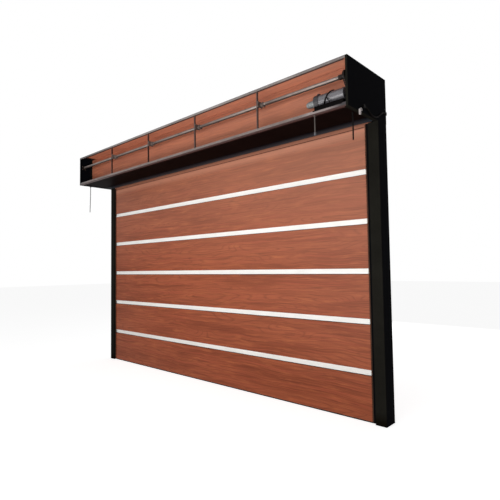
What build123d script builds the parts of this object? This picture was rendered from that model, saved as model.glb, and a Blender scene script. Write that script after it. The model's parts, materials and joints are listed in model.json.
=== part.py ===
from build123d import *
from math import asin, atan2, cos, degrees, pi, radians, sin, sqrt, tan
import os

# Overhead panel door with two guide posts and a deep, open-fronted header box
# Millimetres, +Z up, the door faces -Y
# Origin: middle of the underside of the left post's foot

# Overall sizes
overall_width = 5075
clear_height = 2961
header_height = 462
header_depth = 755

# Posts
post_face = 115
post_depth = 182
post_wall = 4
post_bend_radius = 6
foot_thickness = 8
foot_hole_radius = 7
foot_hole_spacing = 100
anchor_hole_radius = 6.5
anchor_first_height = 300
anchor_spacing = 800
anchor_count = 4

# Guide rails in the posts
guide_lip = 30
guide_engagement = 60
guide_wall = 3
guide_play = 3
seal_rib_width = 6
slide_clearance = 0.4

# Door leaf
leaf_setback = 18
leaf_thickness = 40
leaf_side_play = 9
panel_pitch = 500
strip_height = 59
first_strip_height = 483
strip_count = 5
strip_recess = 12
tongue_width = 10
tongue_depth = 9
joint_clearance = 0.3
panel_chamfer = 2.5
bottom_seal_height = 15
bottom_seal_thickness = 24
bottom_seal_side_gap = 4
bottom_seal_corner = 5
top_panel_height = 445
top_joint_gap = 3
head_section_height = 75

# Header steelwork
sheet = 3
flange = 4
flange_width = 42
front_flange_width = 22
top_rail_height = 21
bottom_rail_height = 38
rail_depth = 26
lining_thickness = 3
bar_width = 12
bar_depth = 20
bar_places = (960, 1925, 2912, 3934)
lintel_depth = 120
lintel_height = 100
lintel_wall = 4
lintel_gap = 43

# Wood-grain board inside the header
board_setback = 213
board_thickness = 40
board_side_gap = 3
board_top_gap = 0.5
board_angle_leg = 26
board_angle_lip = 12
board_angle_thickness = 3

# Drive shaft and its carriers
shaft_radius = 15
shaft_setback = 65
shaft_height = 303
shaft_end_gap = 4
bearing_clearance = 0.3
bearing_plate_thickness = 5
bearing_plate_height = 64
bearing_boss_radius = 23
bearing_boss_length = 26
boss_sides = 8
bracket_chamfer = 11
collar_size = 46
collar_length = 9
collar_gap = 4
end_flange_size = 64
end_flange_thickness = 8
end_boss_length = 22
end_block_size = 40
end_block_chamfer = 4
end_block_length = 38
end_block_distance = 98

# Chain drive at the right end
chain_pitch = 15.875
chain_links = 36
roller_radius = 5.08
chain_side_plate = 2
chain_plate_height = 13
chain_inner_width = 9
shaft_teeth = 18
motor_teeth = 15
sprocket_thickness = 8
sprocket_hub_radius = 24
sprocket_hub_length = 20
sprocket_distance = 50
roller_sides = 6
seat_play = 1
tooth_reach = 2
drive_lean = 27

# Drive motor
motor_radius = 65
motor_wall_gap = 86
motor_length = 330
motor_chamfer = 5
clamp_width = 50
clamp_thickness = 6
clamp_foot_width = 30
nose_radius = 48
nose_length = 100
nose_cap_length = 22
nose_cap_taper = 28
output_shaft_radius = 12
wrap_distance = 153
wrap_tilt = 32
lead_diameter = 9
lead_sides = 24

# Cable duct on the soffit, in front of the motor
duct_length = 310
duct_depth = 44
duct_height = 72
duct_wall = 3
duct_setback = 8
duct_end_gap = 48

# Small parts that hang from the header
left_cord_radius = 5
right_cord_radius = 7
tube_sides = 8
gland_radius = 11
gland_height = 14
gland_taper = 6
left_cord_inset = 21
left_cord_setback = 180
left_cord_drop = 426
left_cord_drift = ((0, 0, 0), (0, 0, 0.25), (-3, -2, 0.51), (-3, -5, 0.77), (-6, -6, 1))
right_cord_inset = 72
right_cord_setback = 206
right_cord_drop = 244
right_cord_drift = ((0, 0, 0), (0, 0, 0.3), (2, -1, 0.65), (1, -3, 1))
rod_radius = 6.5
rod_length = 192
rod_socket_radius = 10
rod_socket_height = 26
rod_nut_radius = 14
rod_nut_height = 9
rod_distance = 363

# Two-lobed connector and the sagging lead on the right end
socket_setback = 202
socket_rise = 12
socket_radius = 15
plug_inset = 16
plug_gap = 0.3
plug_width = 16
plug_height = 64
plug_chamfer = 4
connector_thickness = 24
side_lead_radius = 6
side_lead_gap = 1
outlet_setback = 282
outlet_rise = 61
entry_setback = 30
entry_rise = 103
entry_size = 34
entry_chamfer = 6
side_lead_stub = 42
side_lead_sag = 74
side_lead_sag_shares = ((0.25, 0.73), (0.44, 1), (0.64, 0.8), (0.78, 0.32))

# Derived places
mid_x = (overall_width - post_face) / 2
left_face = -post_face / 2
right_face = left_face + overall_width
back_y = post_depth / 2
post_front = -post_depth / 2
front_y = back_y - header_depth
top_z = clear_height + header_height
leaf_front = post_front + leaf_setback
leaf_back = leaf_front + leaf_thickness
leaf_middle_y = leaf_front + leaf_thickness / 2
strip_middle_y = leaf_middle_y + strip_recess / 2
left_lip = post_face / 2 + guide_lip
guide_front = leaf_front - guide_play - guide_wall
guide_back = leaf_back + guide_play + guide_wall
guide_web = left_lip - guide_engagement
leaf_left = guide_web + guide_wall + leaf_side_play
leaf_width = 2 * (mid_x - leaf_left)
tray_top = top_z - sheet
rail_back = front_y + flange
inner_left = left_face + flange
inner_right = right_face - flange
inner_width = inner_right - inner_left
soffit_z = clear_height + flange
board_front = front_y + board_setback
shaft_y = front_y + shaft_setback
shaft_z = clear_height + shaft_height
door_middle = Plane.YZ.offset(mid_x)

os.makedirs("parts", exist_ok=True)

# Left post: folded steel box with a slot for the guide rail and wall anchor holes
slot_middle = (guide_front + guide_back) / 2
with BuildPart() as post_left:
    with BuildSketch(Plane.XY.offset(foot_thickness)):
        RectangleRounded(post_face, post_depth, post_bend_radius)
        Rectangle(post_face - 2 * post_wall, post_depth - 2 * post_wall, mode=Mode.SUBTRACT)
        with Locations((post_face / 2 - post_wall / 2, slot_middle)):
            Rectangle(2 * post_wall, guide_back - guide_front, mode=Mode.SUBTRACT)
    extrude(amount=clear_height - foot_thickness)
    with BuildSketch(Plane.XZ.offset(-back_y)):
        for number in range(anchor_count):
            with Locations((0, anchor_first_height + number * anchor_spacing)):
                Circle(anchor_hole_radius)
    extrude(amount=post_wall * 1.5, mode=Mode.SUBTRACT)
post_left.part.label = "post_left"
export_step(post_left.part, "parts/post_left.step")

# Right post: the left one mirrored about the door's middle
with BuildPart() as post_right:
    mirror(post_left.part, about=door_middle)
post_right.part.label = "post_right"
export_step(post_right.part, "parts/post_right.step")

# Feet: two sole plates with two anchor holes each
with BuildPart() as post_feet:
    with BuildSketch():
        Rectangle(post_face, post_depth)
        with GridLocations(0, foot_hole_spacing, 1, 2):
            Circle(foot_hole_radius, mode=Mode.SUBTRACT)
    extrude(amount=foot_thickness)
    mirror(about=door_middle)
post_feet.part.label = "post_feet"
export_step(post_feet.part, "parts/post_feet.step")

# Guide rails: U sections with a seal rib on each flange
rib_height = guide_play - slide_clearance
with BuildPart() as guide_left:
    with BuildSketch(Plane.XY.offset(foot_thickness)):
        with Locations((guide_web + guide_engagement / 2, slot_middle)):
            Rectangle(guide_engagement, guide_back - guide_front)
        with Locations((guide_web + guide_wall + guide_engagement / 2, slot_middle)):
            Rectangle(guide_engagement, guide_back - guide_front - 2 * guide_wall, mode=Mode.SUBTRACT)
        for side in (-1, 1):
            rib_y = slot_middle + side * (leaf_thickness / 2 + guide_play - rib_height / 2)
            with Locations((left_lip - seal_rib_width, rib_y)):
                Rectangle(seal_rib_width, rib_height)
    extrude(amount=clear_height - foot_thickness)
guide_left.part.label = "guide_left"
export_step(guide_left.part, "parts/guide_left.step")

with BuildPart() as guide_right:
    mirror(guide_left.part, about=door_middle)
guide_right.part.label = "guide_right"
export_step(guide_right.part, "parts/guide_right.step")

# Door panels: solid sections with a groove along each edge that meets a strip
panel_height = panel_pitch - strip_height
for number in range(strip_count + 1):
    strip_top = first_strip_height + (number - 1) * panel_pitch + strip_height / 2
    bottom = bottom_seal_height if number == 0 else strip_top
    if number == 0:
        top = first_strip_height - strip_height / 2
    elif number == strip_count:
        top = bottom + top_panel_height
    else:
        top = bottom + panel_height
    with BuildPart() as panel:
        with BuildSketch(Plane.YZ.offset(leaf_left)):
            with Locations((leaf_middle_y, (bottom + top) / 2)):
                Rectangle(leaf_thickness, top - bottom)
            if number > 0:
                with Locations((strip_middle_y, bottom + tongue_depth / 2)):
                    Rectangle(tongue_width, tongue_depth, mode=Mode.SUBTRACT)
            if number < strip_count:
                with Locations((strip_middle_y, top - tongue_depth / 2)):
                    Rectangle(tongue_width, tongue_depth, mode=Mode.SUBTRACT)
        extrude(amount=leaf_width)
        front_edges = panel.faces().sort_by(Axis.Y)[0].edges().filter_by(Axis.X)
        chamfer(front_edges, panel_chamfer)
    panel.part.label = f"panel_{number + 1}"
    export_step(panel.part, f"parts/panel_{number + 1}.step")
top_panel_top = top

# White strips between the panels, with a tongue up and down
strip_thickness = leaf_thickness - strip_recess
tongue_height = strip_height + 2 * (tongue_depth - joint_clearance)
with BuildPart() as cross_strips:
    with BuildSketch(Plane.YZ.offset(leaf_left)):
        for number in range(strip_count):
            with Locations((strip_middle_y, first_strip_height + number * panel_pitch)):
                Rectangle(strip_thickness, strip_height)
                Rectangle(tongue_width - 2 * joint_clearance, tongue_height)
    extrude(amount=leaf_width)
cross_strips.part.label = "cross_strips"
export_step(cross_strips.part, "parts/cross_strips.step")

# Head section above the top panel, hidden behind the lintel for most of its height
with BuildPart() as head_section:
    with BuildSketch(Plane.YZ.offset(leaf_left)):
        with Locations((leaf_middle_y, top_panel_top + top_joint_gap + head_section_height / 2)):
            Rectangle(leaf_thickness, head_section_height)
        with Locations((leaf_middle_y, top_panel_top + top_joint_gap / 2)):
            Rectangle(leaf_thickness - 2 * panel_chamfer, top_joint_gap)
    extrude(amount=leaf_width)
head_section.part.label = "head_section"
export_step(head_section.part, "parts/head_section.step")

# Rubber seal under the bottom panel
seal_length = 2 * (mid_x - left_lip - bottom_seal_side_gap)
with BuildPart() as bottom_seal:
    with BuildSketch(Plane.YZ.offset(left_lip + bottom_seal_side_gap)):
        with Locations((leaf_middle_y, bottom_seal_height / 2)):
            Rectangle(bottom_seal_thickness, bottom_seal_height)
        fillet(vertices().group_by(Axis.Y)[0], bottom_seal_corner)
    extrude(amount=seal_length)
bottom_seal.part.label = "bottom_seal"
export_step(bottom_seal.part, "parts/bottom_seal.step")

# End trays of the header: folded plates, whose front flange is narrower than the other three
tray_height = tray_top - clear_height
tray_middle_z = (tray_top + clear_height) / 2
tray_middle = ((back_y + front_y) / 2, tray_middle_z)
with BuildPart() as end_tray_left:
    with BuildSketch(Plane.YZ.offset(left_face)):
        with Locations(tray_middle):
            Rectangle(header_depth, tray_height)
    extrude(amount=flange_width)
    with BuildSketch(Plane.YZ.offset(inner_left)):
        with Locations(tray_middle):
            Rectangle(header_depth - 2 * flange, tray_height - 2 * flange)
    extrude(amount=flange_width - flange, mode=Mode.SUBTRACT)
    with BuildSketch(Plane.YZ.offset(left_face + front_flange_width)):
        with Locations((front_y + flange / 2, tray_middle_z)):
            Rectangle(flange, tray_height)
    extrude(amount=flange_width - front_flange_width, mode=Mode.SUBTRACT)
end_tray_left.part.label = "end_tray_left"
export_step(end_tray_left.part, "parts/end_tray_left.step")

with BuildPart() as end_tray_right:
    mirror(end_tray_left.part, about=door_middle)
end_tray_right.part.label = "end_tray_right"
export_step(end_tray_right.part, "parts/end_tray_right.step")

# Top sheet of the header
with BuildPart() as header_top:
    with BuildSketch(Plane.XY.offset(tray_top)):
        with Locations((mid_x, (front_y + back_y) / 2)):
            Rectangle(overall_width, header_depth)
    extrude(amount=sheet)
header_top.part.label = "header_top"
export_step(header_top.part, "parts/header_top.step")

# Back sheet of the header, against the inside of the trays' back flanges
with BuildPart() as header_back:
    with BuildSketch(Plane.XZ.offset(flange - back_y)):
        with Locations((mid_x, (soffit_z + tray_top - flange) / 2)):
            Rectangle(inner_width, tray_top - flange - soffit_z)
    extrude(amount=sheet)
header_back.part.label = "header_back"
export_step(header_back.part, "parts/header_back.step")

# Front rails: angles whose upright leg fits between the trays' front flanges
rail_length = overall_width - 2 * front_flange_width
rail_inner_length = overall_width - 2 * flange_width
with BuildPart() as front_rail_bottom:
    with BuildSketch(Plane.XZ.offset(-front_y)):
        with Locations((mid_x, clear_height + bottom_rail_height / 2)):
            Rectangle(rail_length, bottom_rail_height)
    extrude(amount=-flange)
    with BuildSketch(Plane.XY.offset(clear_height)):
        with Locations((mid_x, front_y + rail_depth / 2)):
            Rectangle(rail_inner_length, rail_depth)
    extrude(amount=flange)
front_rail_bottom.part.label = "front_rail_bottom"
export_step(front_rail_bottom.part, "parts/front_rail_bottom.step")

with BuildPart() as front_rail_top:
    with BuildSketch(Plane.XZ.offset(-front_y)):
        with Locations((mid_x, tray_top - top_rail_height / 2)):
            Rectangle(rail_length, top_rail_height)
    extrude(amount=-flange)
    with BuildSketch(Plane.XY.offset(tray_top)):
        with Locations((mid_x, front_y + rail_depth / 2)):
            Rectangle(rail_inner_length, rail_depth)
    extrude(amount=-flange)
front_rail_top.part.label = "front_rail_top"
export_step(front_rail_top.part, "parts/front_rail_top.step")

# Upright bars across the open front, behind the rails' upright legs
bar_y = rail_back + bar_depth / 2
bar_middles = [(bar_x, bar_y) for bar_x in bar_places]
with BuildPart() as front_bars:
    with BuildSketch(Plane.XY.offset(soffit_z)):
        with Locations(*bar_middles):
            Rectangle(bar_width, bar_depth)
    extrude(amount=tray_top - flange - soffit_z)
front_bars.part.label = "front_bars"
export_step(front_bars.part, "parts/front_bars.step")

# Lintel: box beam in front of the leaf
lintel_back = leaf_front - lintel_gap
lintel_middle_y = lintel_back - lintel_depth / 2
with BuildPart() as lintel_beam:
    with BuildSketch(Plane.YZ.offset(mid_x - rail_inner_length / 2)):
        with Locations((lintel_middle_y, clear_height + lintel_height / 2)):
            Rectangle(lintel_depth, lintel_height)
            Rectangle(lintel_depth - 2 * lintel_wall, lintel_height - 2 * lintel_wall, mode=Mode.SUBTRACT)
    extrude(amount=rail_inner_length)
lintel_beam.part.label = "lintel_beam"
export_step(lintel_beam.part, "parts/lintel_beam.step")

# Soffit sheet between the bottom rail and the lintel, on the flanges
soffit_back = lintel_back - lintel_depth
with BuildPart() as soffit:
    with BuildSketch(Plane.XY.offset(soffit_z)):
        with Locations((mid_x, (rail_back + soffit_back) / 2)):
            Rectangle(inner_width, soffit_back - rail_back)
        with Locations(*bar_middles):
            Rectangle(bar_width, bar_depth, mode=Mode.SUBTRACT)
    extrude(amount=sheet)
soffit.part.label = "soffit"
export_step(soffit.part, "parts/soffit.step")

# Board across the inside of the header
board_bottom = soffit_z + sheet
board_top = tray_top - flange - board_top_gap
with BuildPart() as header_board:
    with BuildSketch(Plane.XZ.offset(-board_front)):
        with Locations((mid_x, (board_bottom + board_top) / 2)):
            Rectangle(inner_width - 2 * board_side_gap, board_top - board_bottom)
    extrude(amount=-board_thickness)
header_board.part.label = "header_board"
export_step(header_board.part, "parts/header_board.step")

# Wood-grain lining under the top sheet, from the top rail to over the board
lining_front = front_y + rail_depth
lining_back = board_front + board_thickness / 2
with BuildPart() as header_lining:
    with BuildSketch(Plane.XY.offset(tray_top)):
        with Locations((mid_x, (lining_front + lining_back) / 2)):
            Rectangle(rail_inner_length, lining_back - lining_front)
    extrude(amount=-lining_thickness)
header_lining.part.label = "header_lining"
export_step(header_lining.part, "parts/header_lining.step")

# Angles that hold the board's ends to the trays
with BuildPart() as board_angles:
    with BuildSketch(Plane.XY.offset(board_bottom)):
        with Locations((inner_left + board_angle_thickness / 2, board_front - board_angle_leg / 2)):
            Rectangle(board_angle_thickness, board_angle_leg)
        with Locations((inner_left + board_angle_lip / 2, board_front - board_angle_thickness / 2)):
            Rectangle(board_angle_lip, board_angle_thickness)
    extrude(amount=board_top - board_bottom)
    mirror(about=door_middle)
board_angles.part.label = "board_angles"
export_step(board_angles.part, "parts/board_angles.step")

# Drive shaft along the open front
shaft_left = inner_left + shaft_end_gap
shaft_right = inner_right - shaft_end_gap
with BuildPart() as drive_shaft:
    with BuildSketch(Plane.YZ.offset(shaft_left)):
        with Locations((shaft_y, shaft_z)):
            Circle(shaft_radius)
    extrude(amount=shaft_right - shaft_left)
drive_shaft.part.label = "drive_shaft"
export_step(drive_shaft.part, "parts/drive_shaft.step")

# Bearing brackets: a plate on the right side of each bar with a boss round the shaft
bore_radius = shaft_radius + bearing_clearance
bracket_depth = shaft_y + bearing_boss_radius - rail_back
with BuildPart() as bearing_brackets:
    for bar_x in bar_places:
        plate_x = bar_x + bar_width / 2
        with BuildSketch(Plane.YZ.offset(plate_x)):
            with Locations((rail_back + bracket_depth / 2, shaft_z)):
                Rectangle(bracket_depth, bearing_plate_height)
            chamfer(vertices().group_by(Axis.X)[-1], bracket_chamfer)
            with Locations((shaft_y, shaft_z)):
                Circle(bore_radius, mode=Mode.SUBTRACT)
        extrude(amount=bearing_plate_thickness)
        with BuildSketch(Plane.YZ.offset(plate_x + bearing_plate_thickness)):
            with Locations((shaft_y, shaft_z)):
                RegularPolygon(bearing_boss_radius, boss_sides, rotation=180 / boss_sides)
                Circle(bore_radius, mode=Mode.SUBTRACT)
        extrude(amount=bearing_boss_length)
bearing_brackets.part.label = "bearing_brackets"
export_step(bearing_brackets.part, "parts/bearing_brackets.step")

# Square set collars beside the bosses
with BuildPart() as shaft_collars:
    for bar_x in bar_places:
        boss_end = bar_x + bar_width / 2 + bearing_plate_thickness + bearing_boss_length
        with BuildSketch(Plane.YZ.offset(boss_end + collar_gap)):
            with Locations((shaft_y, shaft_z)):
                Rectangle(collar_size, collar_size)
                Circle(bore_radius, mode=Mode.SUBTRACT)
        extrude(amount=collar_length)
shaft_collars.part.label = "shaft_collars"
export_step(shaft_collars.part, "parts/shaft_collars.step")

# Flanged bearings on the trays
with BuildPart() as end_bearings:
    with BuildSketch(Plane.YZ.offset(inner_left)):
        with Locations((shaft_y, shaft_z)):
            Rectangle(end_flange_size, end_flange_size)
            Circle(bore_radius, mode=Mode.SUBTRACT)
    extrude(amount=end_flange_thickness)
    with BuildSketch(Plane.YZ.offset(inner_left + end_flange_thickness)):
        with Locations((shaft_y, shaft_z)):
            RegularPolygon(bearing_boss_radius, boss_sides, rotation=180 / boss_sides)
            Circle(bore_radius, mode=Mode.SUBTRACT)
    extrude(amount=end_boss_length)
    mirror(about=door_middle)
end_bearings.part.label = "end_bearings"
export_step(end_bearings.part, "parts/end_bearings.step")

# Square end block on the shaft, left of the sprocket
with BuildPart() as shaft_end_block:
    with BuildSketch(Plane.YZ.offset(inner_right - end_block_distance - end_block_length / 2)):
        with Locations((shaft_y, shaft_z)):
            Rectangle(end_block_size, end_block_size)
            chamfer(vertices(), end_block_chamfer)
            Circle(bore_radius, mode=Mode.SUBTRACT)
    extrude(amount=end_block_length)
shaft_end_block.part.label = "shaft_end_block"
export_step(shaft_end_block.part, "parts/shaft_end_block.step")

# Chain geometry: pitch circles, centre distance and the motor's axis
shaft_pitch_radius = chain_pitch / (2 * sin(pi / shaft_teeth))
motor_pitch_radius = chain_pitch / (2 * sin(pi / motor_teeth))
half_sum = (shaft_teeth + motor_teeth) / 2
wrap_term = ((shaft_teeth - motor_teeth) / (2 * pi)) ** 2
free_links = chain_links - half_sum
centre_distance = chain_pitch / 4 * (free_links + sqrt(free_links ** 2 - 8 * wrap_term))
motor_y = shaft_y + centre_distance * sin(radians(drive_lean))
motor_z = shaft_z - centre_distance * cos(radians(drive_lean))
chain_x = inner_right - sprocket_distance

# Motor body, its round cover and the clamp ring with its foot on the board
motor_right = inner_right - motor_wall_gap
motor_left = motor_right - motor_length
with BuildPart() as motor_body:
    with BuildSketch(Plane.YZ.offset(motor_left)):
        with Locations((motor_y, motor_z)):
            Circle(motor_radius)
    extrude(amount=motor_length)
    chamfer(motor_body.edges().filter_by(GeomType.CIRCLE).sort_by(Axis.X)[0], motor_chamfer)
motor_body.part.label = "motor_body"
export_step(motor_body.part, "parts/motor_body.step")

nose_end = motor_left - nose_length - nose_cap_length
nose_end_radius = nose_radius - nose_cap_length * tan(radians(nose_cap_taper))
with BuildPart() as motor_nose:
    with BuildSketch(Plane.XY.offset(motor_z)):
        with BuildLine():
            Polyline(
                (motor_left, motor_y),
                (motor_left, motor_y + nose_radius),
                (motor_left - nose_length, motor_y + nose_radius),
                (nose_end, motor_y + nose_end_radius),
                (nose_end, motor_y),
                close=True,
            )
        make_face()
    revolve(axis=Axis((motor_left, motor_y, motor_z), (1, 0, 0)))
motor_nose.part.label = "motor_nose"
export_step(motor_nose.part, "parts/motor_nose.step")

clamp_outer = motor_radius + bearing_clearance + clamp_thickness
with BuildPart() as motor_clamp:
    with BuildSketch(Plane.YZ.offset(motor_left + motor_chamfer)):
        with Locations((motor_y, motor_z)):
            Circle(clamp_outer)
        with Locations(((motor_y + board_front) / 2, motor_z)):
            Rectangle(board_front - motor_y, clamp_foot_width)
        with Locations((motor_y, motor_z)):
            Circle(motor_radius + bearing_clearance, mode=Mode.SUBTRACT)
    extrude(amount=clamp_width)
motor_clamp.part.label = "motor_clamp"
export_step(motor_clamp.part, "parts/motor_clamp.step")

# Sprockets: discs with pointed teeth and a roller seat between each pair
lean = atan2(motor_z - shaft_z, motor_y - shaft_y)
seat_turn = degrees(lean)
with BuildPart() as shaft_sprocket:
    with BuildSketch(Plane.YZ.offset(chain_x - sprocket_thickness / 2)):
        with Locations((shaft_y, shaft_z)):
            tip_turn = seat_turn + 90 + 180 / shaft_teeth
            RegularPolygon(shaft_pitch_radius + tooth_reach, shaft_teeth, rotation=tip_turn)
            with PolarLocations(shaft_pitch_radius, shaft_teeth, start_angle=seat_turn + 180):
                RegularPolygon(roller_radius + seat_play, roller_sides, mode=Mode.SUBTRACT)
            Circle(bore_radius, mode=Mode.SUBTRACT)
    extrude(amount=sprocket_thickness)
    with BuildSketch(Plane.YZ.offset(chain_x + sprocket_thickness / 2)):
        with Locations((shaft_y, shaft_z)):
            RegularPolygon(sprocket_hub_radius, boss_sides)
            Circle(bore_radius, mode=Mode.SUBTRACT)
    extrude(amount=sprocket_hub_length - sprocket_thickness)
shaft_sprocket.part.label = "shaft_sprocket"
export_step(shaft_sprocket.part, "parts/shaft_sprocket.step")

with BuildPart() as motor_sprocket:
    with BuildSketch(Plane.YZ.offset(chain_x - sprocket_thickness / 2)):
        with Locations((motor_y, motor_z)):
            tip_turn = seat_turn - 90 + 180 / motor_teeth
            RegularPolygon(motor_pitch_radius + tooth_reach, motor_teeth, rotation=tip_turn)
            with PolarLocations(motor_pitch_radius, motor_teeth, start_angle=seat_turn):
                RegularPolygon(roller_radius + seat_play, roller_sides, mode=Mode.SUBTRACT)
    extrude(amount=sprocket_thickness)
    with BuildSketch(Plane.YZ.offset(motor_right)):
        with Locations((motor_y, motor_z)):
            Circle(output_shaft_radius)
    extrude(amount=inner_right - motor_right)
motor_sprocket.part.label = "motor_sprocket"
export_step(motor_sprocket.part, "parts/motor_sprocket.step")

# Roller chain round both sprockets: places of the rollers along the pitch line
tangent_lean = asin((shaft_pitch_radius - motor_pitch_radius) / centre_distance)
far_wrap = pi + 2 * tangent_lean
near_wrap = pi - 2 * tangent_lean
far_run = shaft_teeth * chain_pitch * far_wrap / (2 * pi)
near_run = motor_teeth * chain_pitch * near_wrap / (2 * pi)
free_run = centre_distance * cos(tangent_lean)
loop_run = far_run + near_run + 2 * free_run


def on_circle(center_y, center_z, radius, angle):
    return (center_y + radius * cos(angle), center_z + radius * sin(angle))


def along(first, second, share):
    return tuple(a + (b - a) * share for a, b in zip(first, second))


def chain_place(run):
    run = run % loop_run
    first_normal = lean - pi / 2 + tangent_lean
    second_normal = lean + pi / 2 - tangent_lean
    if run < far_run / 2:
        angle = lean + pi + far_wrap * run / far_run
        return on_circle(shaft_y, shaft_z, shaft_pitch_radius, angle)
    run = run - far_run / 2
    if run < free_run:
        start = on_circle(shaft_y, shaft_z, shaft_pitch_radius, first_normal)
        end = on_circle(motor_y, motor_z, motor_pitch_radius, first_normal)
        return along(start, end, run / free_run)
    run = run - free_run
    if run < near_run:
        angle = first_normal + near_wrap * run / near_run
        return on_circle(motor_y, motor_z, motor_pitch_radius, angle)
    run = run - near_run
    if run < free_run:
        start = on_circle(motor_y, motor_z, motor_pitch_radius, second_normal)
        end = on_circle(shaft_y, shaft_z, shaft_pitch_radius, second_normal)
        return along(start, end, run / free_run)
    run = run - free_run
    angle = second_normal + far_wrap * run / far_run
    return on_circle(shaft_y, shaft_z, shaft_pitch_radius, angle)


rollers = [chain_place(number * loop_run / chain_links) for number in range(chain_links)]
plate_offset = chain_inner_width / 2
with BuildPart() as drive_chain:
    with BuildSketch(Plane.YZ.offset(chain_x - plate_offset)):
        with Locations(*rollers):
            RegularPolygon(roller_radius, roller_sides)
    extrude(amount=chain_inner_width)
    for plate_x in (chain_x - plate_offset - chain_side_plate, chain_x + plate_offset):
        with BuildSketch(Plane.YZ.offset(plate_x)):
            Polygon(*rollers, align=None)
            offset(amount=chain_plate_height / 2, kind=Kind.INTERSECTION)
            with BuildSketch(mode=Mode.SUBTRACT):
                Polygon(*rollers, align=None)
                offset(amount=-chain_plate_height / 2, kind=Kind.INTERSECTION)
        extrude(amount=chain_side_plate)
drive_chain.part.label = "drive_chain"
export_step(drive_chain.part, "parts/drive_chain.step")

# Lead wound round the motor body
wrap_middle = motor_left + wrap_distance
with BuildPart() as motor_lead:
    with BuildSketch(Plane.YZ.offset(wrap_middle - motor_radius)):
        with Locations((motor_y, motor_z)):
            lead_inside = motor_radius + bearing_clearance
            RegularPolygon(lead_inside + lead_diameter, lead_sides, major_radius=False)
            RegularPolygon(lead_inside, lead_sides, major_radius=False, mode=Mode.SUBTRACT)
    extrude(amount=2 * motor_radius)
    tilt = radians(wrap_tilt)
    wrap_normal = (cos(tilt), 0, -sin(tilt))
    wrap_plane = Plane(origin=(wrap_middle, motor_y, motor_z), x_dir=(0, 1, 0), z_dir=wrap_normal)
    with BuildSketch(wrap_plane):
        Circle(3 * motor_radius)
    extrude(amount=lead_diameter / 2, both=True, mode=Mode.INTERSECT)
motor_lead.part.label = "motor_lead"
export_step(motor_lead.part, "parts/motor_lead.step")

# Cable duct on the soffit, in front of the motor
duct_left = inner_right - duct_end_gap - duct_length
with BuildPart() as cable_duct:
    with BuildSketch(Plane.YZ.offset(duct_left)):
        with Locations((front_y + duct_setback + duct_depth / 2, board_bottom + duct_height / 2)):
            Rectangle(duct_depth, duct_height)
            Rectangle(duct_depth - 2 * duct_wall, duct_height - 2 * duct_wall, mode=Mode.SUBTRACT)
    extrude(amount=duct_length)
cable_duct.part.label = "cable_duct"
export_step(cable_duct.part, "parts/cable_duct.step")

# Crank rod that hangs from the bottom rail, with a nut above and a socket below
rod_x = right_face - rod_distance
rod_y = front_y + rail_depth / 2
with BuildPart() as crank_rod:
    with BuildSketch(Plane.XY.offset(clear_height)):
        with Locations((rod_x, rod_y)):
            Circle(rod_radius)
    extrude(amount=-rod_length)
    with BuildSketch(Plane.XY.offset(clear_height)):
        with Locations((rod_x, rod_y)):
            RegularPolygon(rod_nut_radius, 6)
    extrude(amount=-rod_nut_height)
    with BuildSketch(Plane.XY.offset(clear_height - rod_length)):
        with Locations((rod_x, rod_y)):
            RegularPolygon(rod_socket_radius, 6)
    extrude(amount=rod_socket_height)
crank_rod.part.label = "crank_rod"
export_step(crank_rod.part, "parts/crank_rod.step")


def bend_radii(points):
    radii = []
    for before, corner, after in zip(points, points[1:], points[2:]):
        first = Vector(*corner) - Vector(*before)
        second = Vector(*after) - Vector(*corner)
        half_turn = radians(first.get_angle(second)) / 2
        radii.append(0.45 * min(first.length, second.length) / tan(half_turn))
    return radii


def hanging_route(top, drop, drift):
    return [(top[0] + x, top[1] + y, top[2] - share * drop) for x, y, share in drift]


# Cable entries: glands under the left tray and the soffit, and the side lead's two blocks
left_gland = (left_face + left_cord_inset, front_y + left_cord_setback, clear_height)
right_gland = (right_face - right_cord_inset, front_y + right_cord_setback, soffit_z)
outlet_y = front_y + outlet_setback
outlet_z = clear_height + outlet_rise
entry_y = back_y - entry_setback
entry_z = clear_height + entry_rise
with BuildPart() as cable_entries:
    for gland in (left_gland, right_gland):
        with BuildSketch(Plane.XY.offset(gland[2])):
            with Locations(gland[:2]):
                RegularPolygon(gland_radius, 6)
        extrude(amount=-gland_height, taper=gland_taper)
    with BuildSketch(Plane.YZ.offset(right_face)):
        with Locations((outlet_y, outlet_z), (entry_y, entry_z)):
            Rectangle(entry_size, entry_size)
            chamfer(vertices(), entry_chamfer)
    extrude(amount=2 * side_lead_radius + 2 * side_lead_gap)
cable_entries.part.label = "cable_entries"
export_step(cable_entries.part, "parts/cable_entries.step")

# Cords that hang from the glands, straight down at first and then with a slight drift
left_top = (left_gland[0], left_gland[1], left_gland[2] - gland_height)
left_route = hanging_route(left_top, left_cord_drop, left_cord_drift)
with BuildPart() as left_cord:
    with BuildLine() as left_path:
        FilletPolyline(*left_route, radius=bend_radii(left_route))
    with BuildSketch(Plane(origin=left_path.line @ 0, z_dir=left_path.line % 0)):
        RegularPolygon(left_cord_radius, tube_sides)
    sweep(path=left_path.wire())
left_cord.part.label = "left_cord"
export_step(left_cord.part, "parts/left_cord.step")

right_top = (right_gland[0], right_gland[1], right_gland[2] - gland_height)
right_route = hanging_route(right_top, right_cord_drop, right_cord_drift)
with BuildPart() as right_cord:
    with BuildLine() as right_path:
        FilletPolyline(*right_route, radius=bend_radii(right_route))
    with BuildSketch(Plane(origin=right_path.line @ 0, z_dir=right_path.line % 0)):
        RegularPolygon(right_cord_radius, tube_sides)
    sweep(path=right_path.wire())
right_cord.part.label = "right_cord"
export_step(right_cord.part, "parts/right_cord.step")

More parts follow.
